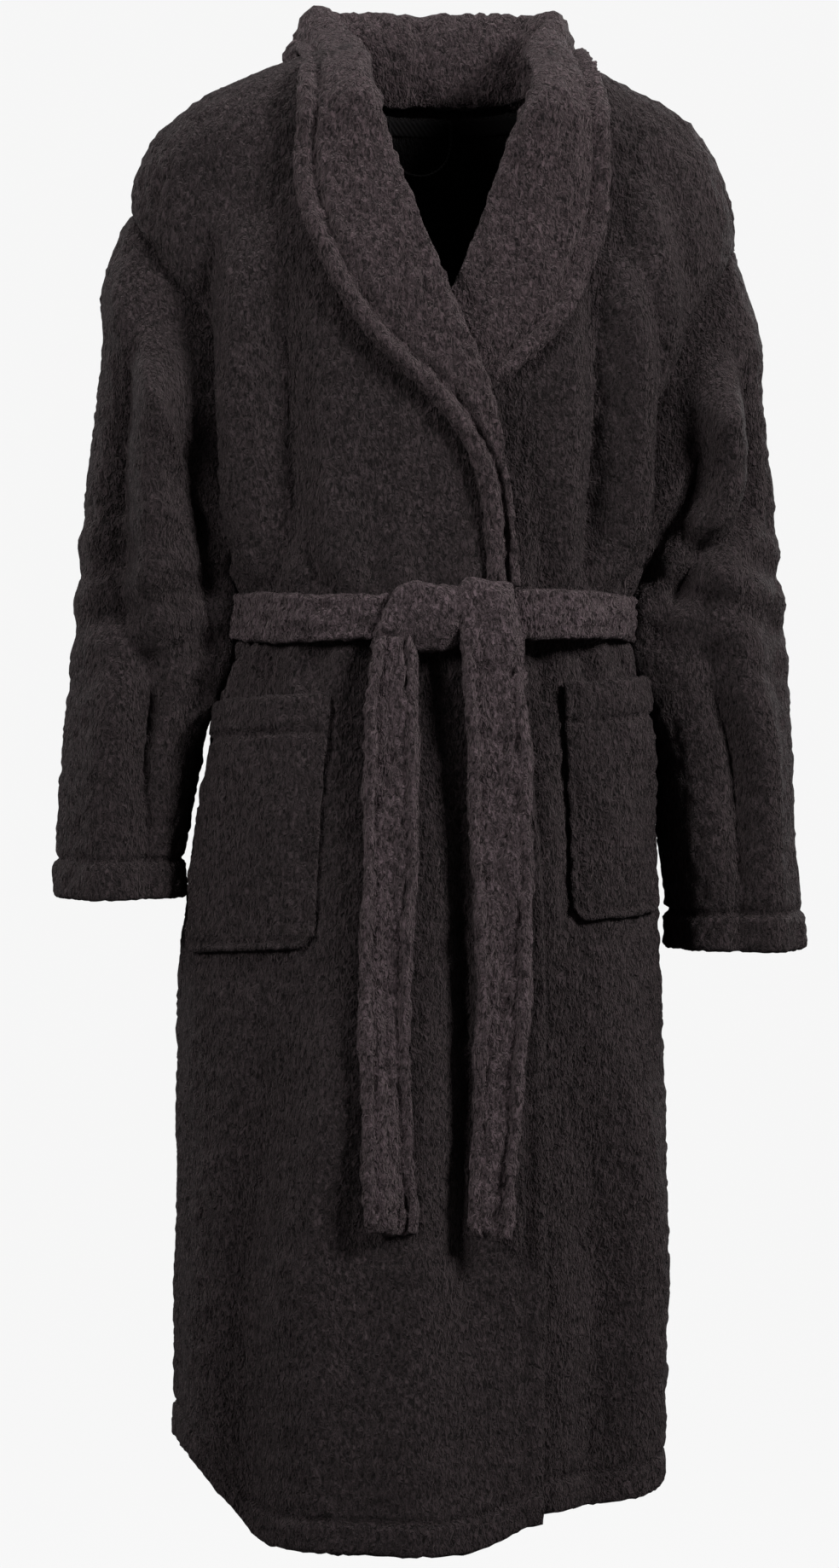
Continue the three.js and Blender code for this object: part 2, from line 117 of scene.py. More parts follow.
# The inside of the body: height above the hem, half width, depth to the front, depth to the back
body_section = smooth_rows([
    [0, 0.199, 0.140, 0.142],
    [0.500, 0.188, 0.128, 0.132],
    [0.660, 0.171, 0.113, 0.117],
    [waist - 0.030, 0.161, 0.107, 0.112],
    [waist, 0.154, 0.104, 0.110],
    [waist + 0.030, 0.163, 0.107, 0.111],
    [armpit_height, 0.168, 0.107, 0.110],
    [0.950, 0.200, 0.108, 0.106],
    [shoulder_height, 0.242, 0.092, 0.088],
    [1.154, 0.206, 0.080, 0.074],
    [1.193, 0.128, 0.068, 0.064],
    [robe_length, 0.080, 0.060, 0.058],
])


def droop(across, height):
    """The wearer's left shoulder hangs a little lower than the right one, most of all at its end."""
    slope = 0.009 * smooth_step(across, 0.05, 0.16) + 0.012 * smooth_step(across, 0.195, 0.245)
    return slope * smooth_step(height, 0.72, 1.0)


def body_at(angle, height):
    """A squarish oval at each height: half width x sin^0.8 across, depth x cos^0.8 front to back. The skirt
    hangs a little towards the wearer's right, and the neck a little towards the left."""
    half_width, front, back = np.moveaxis(body_section(height), -1, 0)
    across = np.sign(np.sin(angle)) * np.abs(np.sin(angle)) ** 0.8
    ahead = np.sign(np.cos(angle)) * np.abs(np.cos(angle)) ** 0.8
    depth = np.where(np.cos(angle) > 0, front, back)
    side = half_width * across
    sway = 0.011 * smooth_step(height, 0.42, 0.90) + 0.008 * smooth_step(height, 1.10, 1.20) - 0.006
    level = hem_z + height - droop(side, height)
    return np.stack([side + sway, axis_y - depth * ahead, level + 0 * angle], -1)


def fold(side, height, rows):
    """A ridge, or a valley where the depth is negative: rows of [height, place across, depth, half width],
    and depth x exp(-((side - place) / half width)^2) off the cloth."""
    place, depth, half = np.moveaxis(smooth_rows(rows)(height), -1, 0)
    return depth * np.exp(-(((side - place) / half) ** 2))


def noise(points, size, seed=0):
    """Smooth noise from -1 to 1: a hashed value at each corner of a lattice, blended within its cells."""
    place = points / size
    cell = np.floor(place).astype(np.int64)
    near = place - cell
    near = near * near * (3 - 2 * near)
    total = 0
    for corner in itertools.product((0, 1), repeat=3):
        key = ((cell + corner) * np.array([374761393, 668265263, 1442695041])).sum(-1) + seed * 97531
        key = ((key ^ (key >> 13)) * 1274126177) & 0xFFFFFFFF
        key = ((key ^ (key >> 15)) * 2246822519) & 0xFFFFFFFF
        weight = np.prod(np.where(corner, near, 1 - near), -1)
        total = total + weight * ((key >> 8) / 2**23 - 1)
    return total


# Folds in the fronts, from the shoulders to the belt and from the belt to the hem
front_folds = [
    [[0.770, -0.136, 0, 0.020], [0.810, -0.142, 0.007, 0.018], [0.900, -0.150, 0.010, 0.020],
     [0.990, -0.153, 0.008, 0.022], [1.070, -0.150, 0, 0.026]],
    [[0.775, -0.108, 0, 0.016], [0.820, -0.112, -0.005, 0.016], [0.920, -0.121, -0.006, 0.018],
     [1.030, -0.130, 0, 0.02]],
    [[0.768, -0.080, 0, 0.016], [0.800, -0.082, 0.003, 0.016], [0.880, -0.090, 0, 0.02]],
    [[0.772, 0.138, 0, 0.014], [0.810, 0.146, 0.009, 0.014], [0.900, 0.150, 0.010, 0.016],
     [0.985, 0.150, 0.009, 0.016], [1.050, 0.146, 0, 0.02]],
    [[0.780, 0.118, 0, 0.014], [0.830, 0.124, -0.006, 0.014], [0.930, 0.127, -0.006, 0.015],
     [1.030, 0.122, 0, 0.018]],
    [[0.775, 0.092, 0, 0.014], [0.850, 0.098, 0.005, 0.016], [0.950, 0.100, 0.004, 0.018],
     [1.040, 0.096, 0, 0.02]],
    [[0.930, 0.176, 0, 0.012], [0.985, 0.178, 0.006, 0.012], [1.060, 0.172, 0.005, 0.014],
     [1.120, 0.160, 0, 0.016]],
    [[0.930, -0.178, 0, 0.014], [1.000, -0.184, -0.006, 0.013], [1.060, -0.180, 0, 0.016]],
    [[0.150, 0.010, 0, 0.014], [0.300, 0.016, -0.007, 0.014], [0.560, 0.014, -0.006, 0.013],
     [0.690, 0.010, 0, 0.012]],
    [[0, -0.100, 0.002, 0.04], [0.240, -0.104, 0.007, 0.03], [0.440, -0.070, 0.005, 0.024],
     [0.700, -0.066, 0, 0.018]],
    [[0, -0.020, 0.006, 0.04], [0.300, -0.030, 0.006, 0.026], [0.640, -0.024, 0, 0.018]],
    [[0, 0.130, -0.009, 0.03], [0.180, 0.126, -0.005, 0.024], [0.420, 0.112, 0, 0.02]],
    [[0, 0.165, 0.004, 0.03], [0.250, 0.160, 0.006, 0.022], [0.440, 0.150, 0, 0.02]],
    [[0.440, 0.082, 0, 0.012], [0.560, 0.080, 0.004, 0.012], [0.700, 0.082, 0, 0.012]],
    [[0, -0.165, -0.008, 0.026], [0.200, -0.160, -0.006, 0.022], [0.430, -0.150, 0, 0.02]],
]
back_folds = [
    [[0, -0.120, 0.009, 0.035], [0.350, -0.095, 0.008, 0.026], [0.700, -0.070, 0.003, 0.018],
     [0.735, -0.068, 0, 0.018]],
    [[0, -0.045, -0.008, 0.035], [0.400, -0.036, -0.006, 0.024], [0.720, -0.028, 0, 0.018]],
    [[0, 0.030, 0.010, 0.036], [0.420, 0.022, 0.007, 0.024], [0.725, 0.016, 0, 0.016]],
    [[0, 0.110, 0.008, 0.036], [0.350, 0.085, 0.008, 0.026], [0.720, 0.062, 0, 0.018]],
    [[0.765, -0.092, 0, 0.016], [0.820, -0.100, 0.008, 0.018], [0.980, -0.130, 0.007, 0.026],
     [1.110, -0.120, 0, 0.03]],
    [[0.765, 0.088, 0, 0.016], [0.830, 0.100, 0.008, 0.018], [0.980, 0.134, 0.007, 0.026],
     [1.110, 0.124, 0, 0.03]],
    [[0.765, 0.020, 0, 0.016], [0.840, 0.012, -0.006, 0.024], [1.000, 0.006, -0.006, 0.04],
     [1.120, 0, 0, 0.05]],
]


def armhole_at(height):
    """The half angle that the oval armhole takes out of the body's side at a height."""
    return armhole_half_angle * np.sqrt(np.clip(1 - ((height - armhole_middle) / armhole_radius) ** 2, 0, 1))


def drape(angle, height):
    """How far the hanging cloth stands off the body surface: the folds of the front or the back, gathers
    that fade away from the belt, waves that grow towards the hem, slow unevenness, and the valley that
    the armhole's seam lies in."""
    place = body_at(angle, height)
    across = place[..., 0]
    front = smooth_step(np.cos(angle), -0.12, 0.2)
    back = smooth_step(-np.cos(angle), -0.12, 0.2)
    lift = 2.4 * sum(fold(across, height, rows) for rows in front_folds) * front
    lift = lift + 1.5 * sum(fold(across, height, rows) for rows in back_folds) * back
    off_belt = np.abs(height - waist) - 0.016
    near_belt = np.exp(-np.clip(off_belt, 0, 1) / 0.045) * smooth_step(off_belt, 0, 0.02)
    lift = lift + 0.0060 * near_belt * np.sin(23 * angle + 2.1 * np.sin(3 * angle))
    waves = 0.004 * smooth_step(waist - height, 0.1, 0.7) * np.sin(6 * angle + 1.1)
    lift = lift + waves * (0.35 + 0.65 * back)
    lift = lift + 0.0042 * noise(place * [1, 1, 0.5], 0.045, 3) * smooth_step(np.abs(off_belt), 0, 0.06)
    lift = lift - 0.012 * smooth_step(0.30 - height, 0, 0.2) * smooth_step(np.sin(angle), 0.75, 1)
    past_seam = np.abs(np.abs((angle + np.pi) % (2 * np.pi) - np.pi) - np.pi / 2) - armhole_at(height)
    beside_armhole = smooth_step(height, armpit_height, armpit_height + 0.06) * (
        1 - 0.85 * smooth_step(height, shoulder_height - 0.09, shoulder_height + 0.01))
    beside_armhole = beside_armhole * (1 - smooth_step(height, shoulder_height, shoulder_height + 0.03))
    lift = lift - 0.014 * beside_armhole * np.exp(-((past_seam / 0.09) ** 2))
    calm_at_neck = 1 - smooth_step(height, 1.10, 1.17)
    return lift * calm_at_neck


def on_body(angle, height, distance, fall=True):
    """The point at a distance outside the body surface, along its normal, with the folds added."""
    around = body_at(angle + 0.01, height) - body_at(angle - 0.01, height)
    up = body_at(angle, height + 0.002) - body_at(angle, height - 0.002)
    out = np.cross(around, up)
    out /= np.linalg.norm(out, axis=-1, keepdims=True)
    off = distance + (drape(angle, height) if fall else 0)
    return body_at(angle, height) + out * np.broadcast_to(off, out.shape[:-1])[..., None]


def steps(length, pitch=0.0032, rim=0.004):
    """Places from 0 to 1 along a length: even steps of about the pitch, and more in the rounded ends."""
    ends = rim * np.array([0, 0.1, 0.45])
    middle = np.linspace(rim, length - rim, max(2, round((length - 2 * rim) / pitch)))
    return np.concatenate([ends, middle, length - ends[::-1]]) / length


def cloth(name, u, v, middle, thickness, relief=None, around=False, pile=0.0014, inside=0.5):
    """A closed layer of fleece on the grid u by v. middle(u, v) is its middle surface, and its two faces
    lie half a thickness each way along the normal. Towards a free edge the thickness falls to nothing on
    a quarter circle, which rounds the edge and closes it. relief(u, v, edge) is added to the outer face,
    where edge holds the distances to the four edges, and the pile moves every point by smooth noise."""
    grid_u, grid_v = np.meshgrid(u, v, indexing="ij")
    place = middle(grid_u, grid_v)
    if around:
        du = np.roll(place, -1, 0) - np.roll(place, 1, 0)
    else:
        du = np.gradient(place, axis=0)
    out = np.cross(du, np.gradient(place, axis=1))
    out /= np.linalg.norm(out, axis=-1, keepdims=True) + 1e-12

    def run(axis):
        """The distance along the middle surface from each of the two edges that an axis runs between."""
        lengths = np.linalg.norm(np.diff(place, axis=axis), axis=-1)
        start = np.zeros_like(place[..., 0].take([0], axis))
        total = np.concatenate([start, np.cumsum(lengths, axis)], axis)
        return total, total.take([-1], axis) - total

    edge = [*run(0), *run(1)]
    nearest = np.minimum(edge[2], edge[3])
    if not around:
        nearest = np.minimum(nearest, np.minimum(edge[0], edge[1]))
    thick = thickness(grid_u, grid_v) if callable(thickness) else np.full(grid_u.shape, thickness)
    closing = np.sqrt(1 - (1 - np.clip(nearest / (0.6 * thick), 0, 1)) ** 2)
    raised = relief(grid_u, grid_v, edge) if relief else 0
    outer = place + out * ((thick / 2 + raised) * closing)[..., None]
    inner = place - out * (thick / 2 * closing)[..., None]

    def piled(points, depth):
        """The points moved by locks of pile: noise in all three directions, and tufts along the normal."""
        hanging = points * [1, 1, 0.6]
        shake = np.stack([noise(hanging, 0.0042, seed) for seed in (11, 12, 13)], -1)
        tufts = 0.6 * noise(hanging, 0.0095, 14) + 1.1 * noise(hanging, 0.0044, 15)
        return points + depth * (0.75 * shake + out * tufts[..., None])

    outer_points = piled(outer, pile)
    inner_points = piled(inner, pile * inside)
    n, m = grid_u.shape
    outer_id = np.arange(n * m).reshape(n, m)
    rim = np.zeros((n, m), bool)
    rim[:, [0, -1]] = True
    if not around:
        rim[[0, -1], :] = True
    inner_id = np.where(rim, outer_id, 0)
    inner_id[~rim] = n * m + np.arange((~rim).sum())
    points = np.concatenate([outer_points.reshape(-1, 3), inner_points[~rim]])

    def quads(ids):
        """The four-sided faces between neighbouring points of the grid."""
        after = np.roll(ids, -1, 0) if around else ids[1:]
        here = ids if around else ids[:-1]
        return np.stack([here[:, :-1], after[:, :-1], after[:, 1:], here[:, 1:]], -1).reshape(-1, 4)

    return mesh_piece(name, points, np.concatenate([quads(outer_id), quads(inner_id)[:, ::-1]]))


def mesh_piece(name, points, faces):
    """An object of four-sided faces, shaded smooth, from arrays of its points and of their numbers."""
    mesh = bpy.data.meshes.new(name)
    mesh.vertices.add(len(points))
    mesh.vertices.foreach_set("co", points.astype(np.float32).ravel())
    mesh.loops.add(faces.size)
    mesh.loops.foreach_set("vertex_index", faces.astype(np.int32).ravel())
    mesh.polygons.add(len(faces))
    mesh.polygons.foreach_set("loop_start", np.arange(0, faces.size, 4, dtype=np.int32))
    mesh.polygons.foreach_set("use_smooth", np.ones(len(faces), bool))
    mesh.update(calc_edges=True)
    mesh.validate()
    piece = bpy.data.objects.new(name, mesh)
    bpy.context.scene.collection.objects.link(piece)
    return piece


def linear(colour):
    """An sRGB hex colour as linear red, green, blue and alpha."""
    s = np.array([int(colour[i : i + 2], 16) for i in (1, 3, 5)]) / 255
    return (*np.where(s <= 0.04045, s / 12.92, ((s + 0.055) / 1.055) ** 2.4), 1)


def add_node(tree, kind, inputs, **settings):
    """Adds a node with its settings. Each input is a value, or the output that it is linked to."""
    node = tree.nodes.new(kind)
    for key, value in settings.items():
        setattr(node, key, value)
    for socket, value in inputs.items():
        if isinstance(value, bpy.types.NodeSocket):
            tree.links.new(value, node.inputs[socket])
        else:
            node.inputs[socket].default_value = value
    return node


# Coral fleece: knitted polyester with a long pile that has curled into soft locks, which hang downwards.
# The eye sees fine wavy strands with dark shade between them, no shine but a soft bloom of light on fibres
# seen edge on, and patches where the pile has been brushed one way or the other. The shade between the
# strands is painted into the colour, near-black. One fibre is far too fine to show, so a strand is
# drawn as wide as a curl of many fibres.
strand_width = 0.0026
lock_size = 0.0070
brushed_patch = 0.055


def empty_material(name):
    """A material and its node tree, with no nodes in it yet."""
    material = bpy.data.materials.new(name)
    material.use_nodes = True
    material.node_tree.nodes.clear()
    return material, material.node_tree


def coral_fleece(name, tips, gap_shade, bloom):
    """Noise at the width of a strand goes from a near-black shade colour, painted shade in the low places
    between the strands, to the tips' colour; slow noise shades whole patches, and strands and locks
    together make the bump. The bloom is the weight of the sheen."""
    material, tree = empty_material(name)
    place = add_node(tree, "ShaderNodeTexCoord", {}).outputs["Object"]
    hanging = add_node(tree, "ShaderNodeMapping", {"Vector": place, "Scale": (1, 1, 0.5)},
                       vector_type="POINT")
    strands = add_node(tree, "ShaderNodeTexNoise", {"Vector": hanging.outputs[0], "Scale": 1 / strand_width,
                                                    "Detail": 2.0, "Roughness": 0.55, "Distortion": 0.9})
    waved = add_node(tree, "ShaderNodeMapRange", {"Value": strands.outputs["Fac"], "From Min": 0.35,
                                                  "From Max": 0.65, "To Min": 0.0, "To Max": 1.0})
    locks = add_node(tree, "ShaderNodeTexNoise", {"Vector": hanging.outputs[0], "Scale": 1 / lock_size,
                                                  "Detail": 1.0, "Distortion": 0.5})
    clumped = add_node(tree, "ShaderNodeMath", {0: locks.outputs["Fac"], 1: 1.1, 2: -0.55},
                       operation="MULTIPLY_ADD")
    height = add_node(tree, "ShaderNodeMath", {0: waved.outputs[0], 1: clumped.outputs[0]}, operation="ADD")
    # Painted shade: low places in the strands' noise take the near-black shade colour, high places the
    # tips'.
    shade = add_node(tree, "ShaderNodeMix", {"Factor": waved.outputs[0], "A": linear(gap_shade),
                                             "B": linear(tips)}, data_type="RGBA", clamp_factor=True)
    patches = add_node(tree, "ShaderNodeTexNoise", {"Vector": place, "Scale": 1 / brushed_patch,
                                                    "Detail": 2.0, "Distortion": 0.6})
    patch = add_node(tree, "ShaderNodeMapRange", {"Value": patches.outputs["Fac"], "From Min": 0.3,
                                                  "From Max": 0.7, "To Min": 0.88, "To Max": 1.12})
    colour = add_node(tree, "ShaderNodeVectorMath", {0: shade.outputs["Result"], "Scale": patch.outputs[0]},
                      operation="SCALE")
    bump = add_node(tree, "ShaderNodeBump", {"Height": height.outputs[0], "Strength": 1.0,
                                             "Distance": 0.0040})
    shader = add_node(tree, "ShaderNodeBsdfPrincipled", {
        "Base Color": colour.outputs[0], "Normal": bump.outputs[0], "Roughness": 0.95,
        "Specular IOR Level": 0.15, "Sheen Weight": bloom, "Sheen Roughness": 0.5,
        "Sheen Tint": linear("#b3a2a3")})
    add_node(tree, "ShaderNodeOutputMaterial", {"Surface": shader.outputs[0]})
    return material


# Each fleece's second colour is painted shade, for the dark between its strands.
fleece = coral_fleece("Coral fleece", "#362e30", "#0e0b0b", 0.13)
# The inner faces of the back, the fronts and the sleeves take this near-black copy of the fleece: painted
# shade for the dark inside of the robe.
inside_painted_shade = coral_fleece("Coral fleece, inner faces, painted shade", "#121011", "#060505", 0.02)


def finish(piece, body, slot, material, *nodes, inner_shade=None):
    """Gives a piece its material, lets it ride on its body and stand for its frame nodes; the slot is not
    used. The second half of a cloth's faces are its inner side, which may take a second, near-black
    material: painted shade for the dark inside of the robe."""
    piece.data.materials.append(material)
    # Painted shade: the inner faces take the second, near-black material.
    if inner_shade:
        piece.data.materials.append(inner_shade)
        inner = np.arange(len(piece.data.polygons)) >= len(piece.data.polygons) // 2
        piece.data.polygons.foreach_set("material_index", inner.astype(np.int32))
    if body:
        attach(piece, body)
    if nodes:
        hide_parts(*nodes)
    return piece


def stitched(edge, depth=0.0030, half=0.0026):
    """A sewn line pulls the pile down in a narrow groove: -depth x exp(-((distance - edge) / half)^2)."""
    return lambda distance: -depth * np.exp(-(((distance - edge) / half) ** 2))


def hem_rise(angle, height):
    """The lower edge hangs lowest in front and highest at the sides, and evens out up the skirt."""
    turn = np.abs((angle + np.pi) % (2 * np.pi) - np.pi)
    at_side = (0.047 - 0.016 * np.sin(angle)) * smooth_step(turn, 0.66, 1.38)
    rise = 0.005 + at_side - 0.021 * smooth_step(turn, 1.7, 3.0)
    return rise * (1 - smooth_step(height, 0, hem_evens_out))


def back_middle(u, v):
    """From the hem up to the neck, and from one side seam round the back to the other."""
    row = v * robe_length
    seam = np.pi / 2 + armhole_at(row) - seam_overlap
    angle = seam + u * (2 * np.pi - 2 * seam)
    drop = neck_drop * np.clip(-np.cos(angle), 0, 1) ** 3 * smooth_step(row, shoulder_height, robe_length)
    return on_body(angle, row - drop + hem_rise(angle, row), fleece_layer / 2)


def hem_relief(u, v, edge):
    """The turned-up strip stands 1.2 mm proud, up to its stitched line."""
    turned = 1 - smooth_step(edge[2], hem_turn - 0.004, hem_turn)
    return 0.0012 * turned + stitched(hem_turn)(edge[2])


back = cloth("back", steps(0.62, 0.0042), steps(1.21, 0.0039), back_middle, fleece_layer, hem_relief)
finish(back, "robe", "fleece", fleece, "back_panel", "back_hem", inner_shade=inside_painted_shade)

# ---------------------------------------------------------------------------------------------------
# Fronts: two panels of the same fleece that wrap over each other, the wearer's right on top. Each free
# edge is folded in and stitched as a band, and the lower edge is turned up like the back's.

front_past_middle = smooth_rows([
    [0, 0.078], [0.500, 0.078], [waist, 0.054], [0.829, 0.047], [0.930, 0.028], [0.988, 0.004],
    [1.125, -0.0520], [robe_length, -0.080],
])
band_turn = 0.017
upper_front_lift = 0.017
overlap_side = (0.082, 0.148)


def angle_at(across, height):
    """The angle on the front of the body at a distance to the side of the middle."""
    share = np.clip(across / body_section(height)[..., 0], -1, 1)
    return np.arcsin(np.sign(share) * np.abs(share) ** 1.25)


def lift_at(angle, height):
    """How far the upper front stands off the body, over the lower front and its folded edge."""
    across = np.abs(body_at(angle, height)[..., 0])
    beside = 1 - smooth_step(across, *overlap_side)
    above = 1 - smooth_step(height, 1.032, 1.132)
    return upper_front_lift * beside * above


for side_name, side in (("right", -1), ("left", 1)):

    def front_middle(u, v, side=side):
        """From the hem up to the shoulder, and from the free edge past the middle round to the side seam.
        The right front lies over the left one and rises at its lower corner, and the left one hangs
        shorter except at its side seam."""
        height = v * (robe_length - 0.003)
        seam = np.pi / 2 - armhole_at(height) + seam_overlap
        edge = -angle_at(front_past_middle(height)[..., 0], height)
        share = u if side > 0 else 1 - u
        angle = side * (edge + share * (seam - edge))
        lift = lift_at(angle, height) if side < 0 else 0
        corner = 0.020 * (1 - smooth_step(share, 0, 0.16))
        shorter = 0.024 * (1 - smooth_step(share, 0.5, 0.96)) if side > 0 else corner
        shorter = shorter * (1 - smooth_step(height, 0, hem_evens_out))
        return on_body(angle, height + hem_rise(angle, height) + shorter, lift + fleece_layer / 2)

    def front_relief(u, v, edge, side=side):
        """The folded band stands 1.6 mm proud up to its stitched line, and ends under the collar."""
        free = edge[0] if side > 0 else edge[1]
        folded = 1 - smooth_step(free, band_turn - 0.005, band_turn)
        below_collar = 1 - smooth_step(edge[2], 0.80, 0.84)
        band = (0.0016 * folded + stitched(band_turn)(free)) * below_collar
        return band + hem_relief(u, v, edge)

    front = cloth(f"{side_name}_front", steps(0.33, 0.0034), steps(1.21, 0.0034), front_middle,
                  fleece_layer, front_relief)
    finish(front, "robe", "fleece", fleece, f"{side_name}_front_panel", f"{side_name}_front_hem",
           f"{side_name}_front_band", inner_shade=inside_painted_shade)

# ---------------------------------------------------------------------------------------------------
# Shawl collar: two layers of fleece, cut in one with the lapels and seamed at the centre back. It stands
# up from the neck seam, rolls over and falls outwards, and is stitched near its outer edge.

crossing = robe_length - 0.215
collar_stitch = 0.018
lapel_width = {-1: 0.076, 1: 0.086}
lapel_foot_width = 0.024
lapel_neck_width = 0.042
collar_thickness = 0.0125
roll_beside_neck = 0.021
row_points = 7
roll_point = 3


def lapel_row(side, height):
    """Points across a lapel from the front's edge, up over the roll and down to the outer edge, and the
    lapel's thickness there: u^0.45 along half a sine for the roll."""
    u = np.array([0, 0.06, 0.16, 0.32, 0.54, 0.78, 1.0])
    widening = smooth_step(height, 0.84, crossing + 0.05)
    width = lapel_foot_width + (lapel_width[side] - lapel_foot_width) * widening
    width += (lapel_neck_width - width) * smooth_step(height, robe_length - 0.12, robe_length)
    inner = -front_past_middle(height)[..., 0]
    slant = 0.42 * width * smooth_step(height, 0.80, crossing)
    slant *= 1 - smooth_step(height, robe_length - 0.15, robe_length)
    level = height - u * slant
    angle = side * angle_at(inner + u * width, level)
    roll = roll_beside_neck * smooth_step(height, crossing + 0.03, robe_length) * np.sin(np.pi * u**0.45)
    lift = lift_at(angle, level) if side < 0 else 0
    off = 0.0024 * smooth_step(height, robe_length - 0.15, robe_length - 0.04)
    full = smooth_step(height, 0.78, 0.86) if side < 0 else smooth_step(height, crossing, crossing + 0.06)
    thick = 0.0072 + 0.0058 * full
    points = on_body(angle, level, lift + fleece_layer + 0.0010 + off + roll + thick / 2)
    return np.append(points, thick)


def collar_row(turn):
    """Points across the collar behind the neck: up the stand, over the roll and down the fall."""
    angle = np.array(turn)
    behind = np.clip(-np.cos(angle), 0, 1)
    base = robe_length - neck_drop * behind**3
    foot = on_body(angle, base, 0, fall=False)
    out = np.array([np.sin(angle), -np.cos(angle), 0])
    top = robe_length - neck_drop + 0.061 + 0.025 * smooth_step(behind, 0.2, 0.85)
    fall_out = 0.036 + (0.024 - 0.036) * smooth_step(behind, 0.2, 0.9)
    levels = np.linspace(shoulder_height, robe_length, 200)
    rim = np.linalg.norm((body_at(angle + 0 * levels, levels) - [0, axis_y, 0])[:, :2], axis=1)
    reach = np.linalg.norm((foot - [0, axis_y, 0])[:2]) + fall_out
    on_shoulder = np.interp(-reach, -rim, levels) + 0.012
    low = max(on_shoulder, top - 0.093)
    rows = [[0, base + 0.008], [-0.004, base + 0.30 * (top - base)], [-0.002, base + 0.74 * (top - base)],
            [0.011, top - 0.001], [0.025, base + 0.74 * (top - base)],
            [fall_out + 0.005, 0.5 * (low + top) - 0.006], [fall_out + 0.003, low + 0.002]]
    points = np.array([foot * [1, 1, 0] + out * far + [0, 0, hem_z + level] for far, level in rows])
    return np.append(points, collar_thickness)


def collar_rows():
    """Rows across the whole collar, from the right lapel's lower end round the neck to the left one's."""
    levels = np.array([0.771, 0.80, 0.83, 0.865, 0.90, 0.94, 0.98, 1.02, 1.06, 1.095, 1.125, 1.153])
    turns = np.radians([106, 124, 142, 161, 180])
    right = [lapel_row(-1, level) for level in levels] + [collar_row(-turn) for turn in turns]
    left = [collar_row(turn) for turn in turns[-2::-1]] + [lapel_row(1, level) for level in levels[::-1]]
    return np.array(right + left)


control = collar_rows()
roll_line = control[:, 3 * roll_point : 3 * roll_point + 3]
along = np.concatenate([[0], np.cumsum(np.linalg.norm(np.diff(roll_line, axis=0), axis=1))])
collar_length = along[-1]
collar_curve = smooth_rows(np.column_stack([along / collar_length, control]))


def collar_middle(u, v):
    """A cubic across each row of points, from the outer edge to the neck seam."""
    rows = collar_curve(v[0])[:, : 3 * row_points].reshape(len(v[0]), row_points, 3)
    rows = np.moveaxis(rows, 1, 0).reshape(row_points, -1)
    across = smooth_rows(np.column_stack([np.linspace(0, 1, row_points), rows]))
    return across(1 - u[:, 0]).reshape(*u.shape, 3)


def collar_relief(u, v, edge):
    """A raised rim outside the stitched line, slow unevenness, and three creases behind the neck."""
    rim = 1 - smooth_step(edge[0], collar_stitch - 0.007, collar_stitch)
    soft = 0.0018 * noise(np.stack([u * 3, v * 26, 0 * u], -1), 1.0, 5)
    behind = sum(np.exp(-(((v - place) / 0.007) ** 2)) for place in (0.447, 0.492, 0.552))
    crease = -0.006 * behind * smooth_step(u, 0.40, 0.62) * (1 - smooth_step(u, 0.9, 1))
    return 0.0030 * rim + stitched(collar_stitch, 0.0060, 0.0036)(edge[0]) + soft + crease


# A lighter copy of the fleece for the collar and lapels: painted light, for the brighter light that falls on
# them.
collar_painted_light = coral_fleece("Coral fleece, painted light", "#463b3e", "#110d0e", 0.22)
collar = cloth("shawl_collar", steps(0.115, 0.0032), steps(collar_length, 0.0036), collar_middle,
               lambda u, v: collar_curve(v)[..., -1], collar_relief, pile=0.0021, inside=1.0)
finish(collar, "robe", "fleece", collar_painted_light, "right_lapel", "left_lapel", "back_collar")

# ---------------------------------------------------------------------------------------------------
# Sleeves: a wide straight tube each, set into the armhole below the shoulder and hanging down past the
# hip, with deep folds from the seam to the elbow and a turned and stitched cuff.

cuff_turn = 0.032
below_cuff_seam = 0.030
sleeve_off_body = 0.013
depth_at_top, depth_at_wrist = 0.062, 0.058
sleeve_folds = {
    -1: [
        [[0.640, 0.30, 0, 0.26], [0.760, 0.24, 0.012, 0.26], [0.900, 0.16, 0.016, 0.28],
         [1.020, 0.05, 0.012, 0.3], [1.072, 0, 0, 0.3]],
        [[0.560, -0.40, -0.004, 0.2], [0.660, -0.05, -0.010, 0.2], [0.770, 0.50, -0.010, 0.2],
         [0.900, 0.60, -0.010, 0.2], [1.010, 0.52, -0.006, 0.2], [1.060, 0.5, 0, 0.2]],
        [[0.620, -0.62, 0, 0.2], [0.740, -0.50, -0.009, 0.22], [0.880, -0.42, -0.011, 0.2],
         [1.000, -0.4, -0.006, 0.2], [1.050, -0.4, 0, 0.2]],
        [[0.545, 0.35, 0.006, 0.34], [0.650, 0.45, 0.008, 0.3], [0.760, 0.85, 0, 0.2]],
    ],
    1: [
        [[0.600, 0.35, 0, 0.24], [0.740, 0.20, 0.008, 0.24], [0.860, 0.20, 0.014, 0.26],
         [1.000, 0.12, 0.014, 0.28], [1.060, 0.1, 0, 0.3]],
        [[0.740, -1.00, -0.004, 0.2], [0.800, -0.60, -0.012, 0.2], [0.880, -0.15, -0.013, 0.2],
         [0.960, -0.20, -0.010, 0.2], [1.040, -0.3, 0, 0.2]],
        [[0.700, -0.80, 0, 0.18], [0.780, -0.15, -0.010, 0.2], [0.850, 0.55, -0.012, 0.2],
         [0.940, 0.62, -0.010, 0.2], [1.030, 0.6, 0, 0.2]],
        [[0.500, 0.42, 0.006, 0.24], [0.620, 0.40, 0.010, 0.24], [0.740, 0.5, 0.006, 0.24],
         [0.84, 0.6, 0, 0.24]],
        [[0.500, -0.1, -0.004, 0.22], [0.620, 0.02, -0.008, 0.2], [0.740, 0.10, -0.004, 0.2],
         [0.80, 0.1, 0, 0.2]],
    ],
}
